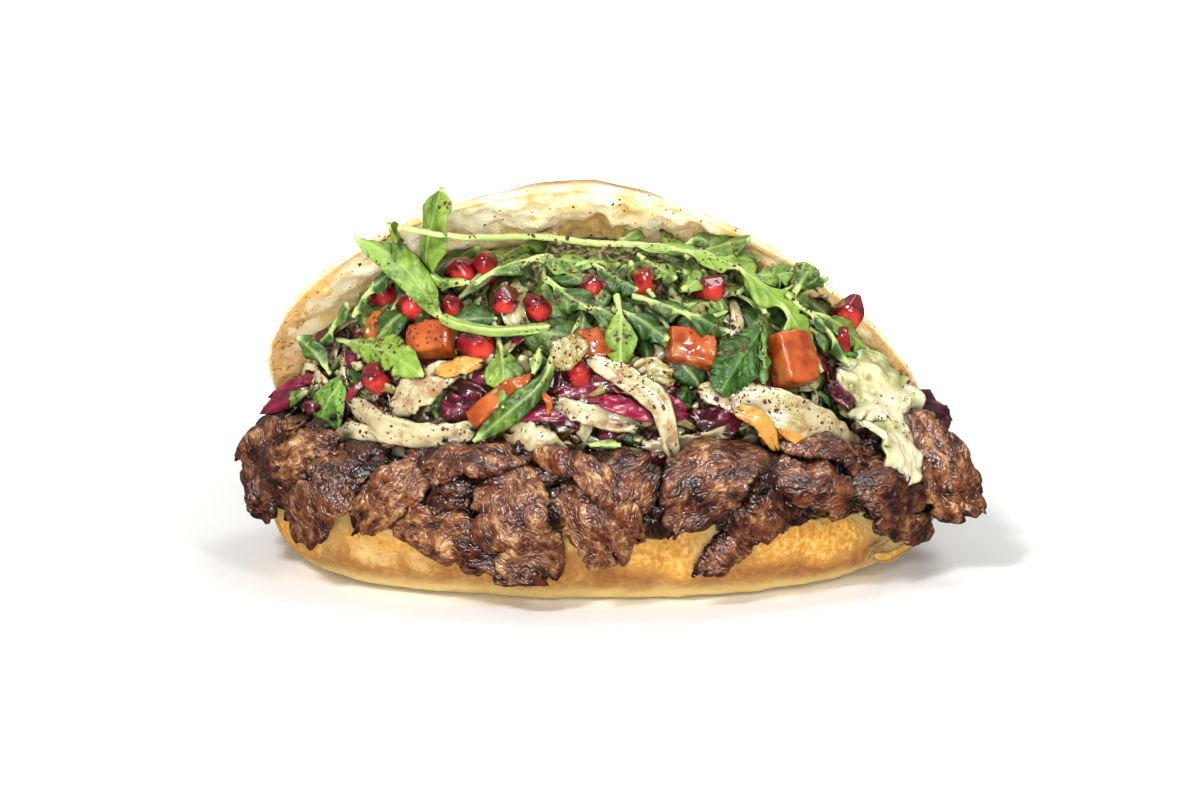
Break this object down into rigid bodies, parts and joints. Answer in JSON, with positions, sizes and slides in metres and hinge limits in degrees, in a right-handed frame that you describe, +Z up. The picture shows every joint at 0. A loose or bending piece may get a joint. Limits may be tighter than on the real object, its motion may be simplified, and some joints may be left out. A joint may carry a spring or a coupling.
{
  "type": "doner kebab sandwich",
  "caption": "Round flatbread opened like a clam and packed with shaved meat, shredded cabbage, rocket, diced tomato and pomegranate seeds; lies flat with its mouth to the front.",
  "frame": {"origin": "on the surface it lies on, under the middle of its bounding box", "axes": "+Z up, +X to the right along the bread's width, +Y from the open mouth back to the hinge of the bread"},
  "size_m": [0.215, 0.1392, 0.1143],
  "materials": {
    "bread": "baked wheat crust and torn crumb, matt",
    "meat": "shaved grilled meat, moist, with charred edges",
    "salad": "shredded white and red cabbage and herbs, moist",
    "lettuce": "pale lettuce under yoghurt sauce, wet",
    "leaf": "dark green herb leaf, moist",
    "rocket": "green rocket leaf with a pale midrib, moist",
    "white_cabbage": "creamy translucent cabbage strip, moist",
    "red_cabbage": "magenta cabbage and radicchio, moist",
    "tomato": "orange-red tomato flesh, wet",
    "pomegranate": "deep red translucent seed, glossy"
  },
  "bodies": {
    "root": {"bread": "bread", "meat": "meat", "salad": "salad", "lettuce": "lettuce", "mint_leaf": "leaf", "round_leaf": "leaf", "rocket_1": "rocket", "rocket_2": "rocket", "rocket_3": "rocket", "rocket_4": "rocket", "rocket_5": "rocket", "rocket_6": "rocket", "rocket_7": "rocket", "rocket_8": "rocket", "rocket_9": "rocket", "rocket_10": "rocket", "rocket_11": "rocket", "rocket_12": "rocket", "rocket_13": "rocket", "rocket_14": "rocket", "rocket_15": "rocket", "white_cabbage_1": "white_cabbage", "white_cabbage_2": "white_cabbage", "white_cabbage_3": "white_cabbage", "white_cabbage_4": "white_cabbage", "white_cabbage_5": "white_cabbage", "white_cabbage_6": "white_cabbage", "white_cabbage_7": "white_cabbage", "red_cabbage_1": "red_cabbage", "red_cabbage_2": "red_cabbage", "red_cabbage_3": "red_cabbage", "red_cabbage_4": "red_cabbage", "red_cabbage_5": "red_cabbage", "tomato_1": "tomato", "tomato_2": "tomato", "tomato_3": "tomato", "tomato_4": "tomato", "tomato_5": "tomato", "tomato_6": "tomato", "tomato_7": "tomato", "pomegranate_1": "pomegranate", "pomegranate_2": "pomegranate", "pomegranate_3": "pomegranate", "pomegranate_4": "pomegranate", "pomegranate_5": "pomegranate", "pomegranate_6": "pomegranate", "pomegranate_7": "pomegranate", "pomegranate_8": "pomegranate", "pomegranate_9": "pomegranate", "pomegranate_10": "pomegranate", "pomegranate_11": "pomegranate", "pomegranate_12": "pomegranate", "pomegranate_13": "pomegranate", "pomegranate_14": "pomegranate", "pomegranate_15": "pomegranate"}
  },
  "joints": []
}
